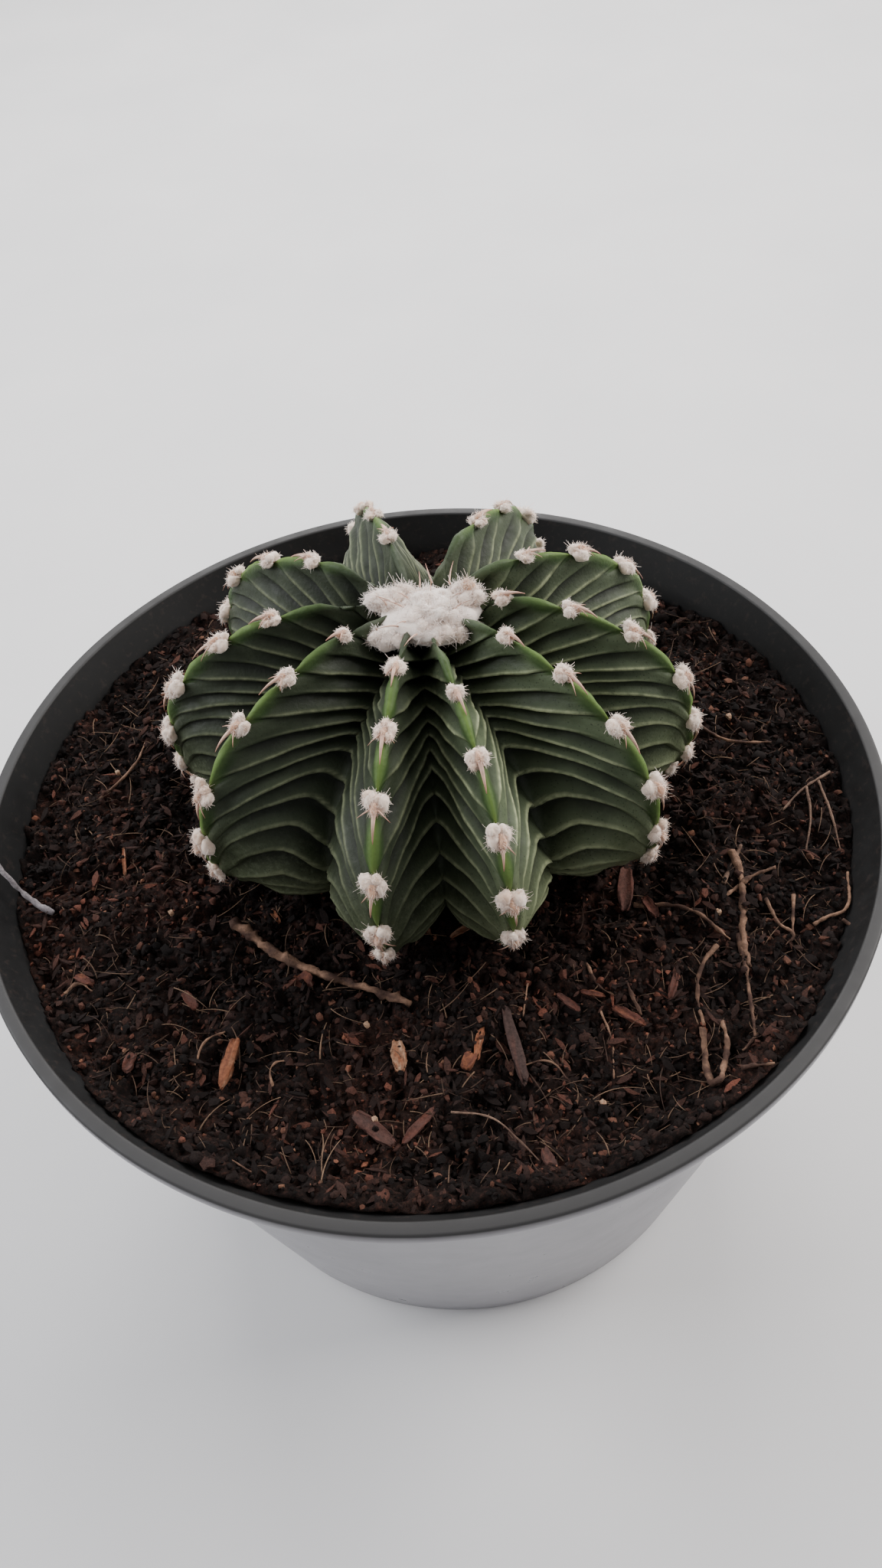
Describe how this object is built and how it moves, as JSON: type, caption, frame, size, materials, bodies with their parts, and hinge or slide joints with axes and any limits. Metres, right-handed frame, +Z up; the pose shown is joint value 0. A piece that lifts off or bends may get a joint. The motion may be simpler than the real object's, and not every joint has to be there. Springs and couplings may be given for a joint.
{
  "type": "potted round cactus",
  "caption": "Low globular ribbed cactus with woolly areoles along sharp ridges and terraced flanks, growing in dark peat mix in a round grey plastic pot.",
  "frame": {"origin": "centre of the pot's foot, on the surface that the pot stands on", "axes": "+Z up along the pot's axis; -Y is the front, where the plant sits a little further from the rim"},
  "size_m": [0.105, 0.105, 0.0951],
  "materials": {
    "pot_plastic": "satin moulded polypropylene, faint scuffs",
    "peat": null,
    "cactus_skin": null,
    "areole_wool": "short matt wool with pinkish brown spines",
    "crown_felt": "dense matt cream felt",
    "twig_wood": "dry weathered twig",
    "bark": "dry reddish bark",
    "dry_root": "smooth dry grey root"
  },
  "bodies": {
    "root": {"pot": "pot_plastic", "potting_mix": "peat", "cactus_body": "cactus_skin", "crown_wool": "crown_felt", "areole_r1_1": "areole_wool", "areole_r1_2": "areole_wool", "areole_r1_3": "areole_wool", "areole_r1_4": "areole_wool", "areole_r1_5": "areole_wool", "areole_r2_1": "areole_wool", "areole_r2_2": "areole_wool", "areole_r2_3": "areole_wool", "areole_r2_4": "areole_wool", "areole_r2_5": "areole_wool", "areole_r3_1": "areole_wool", "areole_r3_2": "areole_wool", "areole_r3_3": "areole_wool", "areole_r3_4": "areole_wool", "areole_r3_5": "areole_wool", "areole_r4_1": "areole_wool", "areole_r4_2": "areole_wool", "areole_r4_3": "areole_wool", "areole_r4_4": "areole_wool", "areole_r4_5": "areole_wool", "areole_r5_1": "areole_wool", "areole_r5_2": "areole_wool", "areole_r5_3": "areole_wool", "areole_r5_4": "areole_wool", "areole_r5_5": "areole_wool", "areole_r6_1": "areole_wool", "areole_r6_2": "areole_wool", "areole_r6_3": "areole_wool", "areole_r6_4": "areole_wool", "areole_r6_5": "areole_wool", "areole_r7_1": "areole_wool", "areole_r7_2": "areole_wool", "areole_r7_3": "areole_wool", "areole_r7_4": "areole_wool", "areole_r7_5": "areole_wool", "areole_r8_1": "areole_wool", "areole_r8_2": "areole_wool", "areole_r8_3": "areole_wool", "areole_r8_4": "areole_wool", "areole_r8_5": "areole_wool", "areole_r9_1": "areole_wool", "areole_r9_2": "areole_wool", "areole_r9_3": "areole_wool", "areole_r9_4": "areole_wool", "areole_r9_5": "areole_wool", "areole_r10_1": "areole_wool", "areole_r10_2": "areole_wool", "areole_r10_3": "areole_wool", "areole_r10_4": "areole_wool", "areole_r10_5": "areole_wool", "front_twig": "twig_wood", "forked_twig": "twig_wood", "rim_twig": "twig_wood", "flat_stick": "twig_wood", "bark_chip": "bark", "root_strand": "dry_root"}
  },
  "joints": []
}
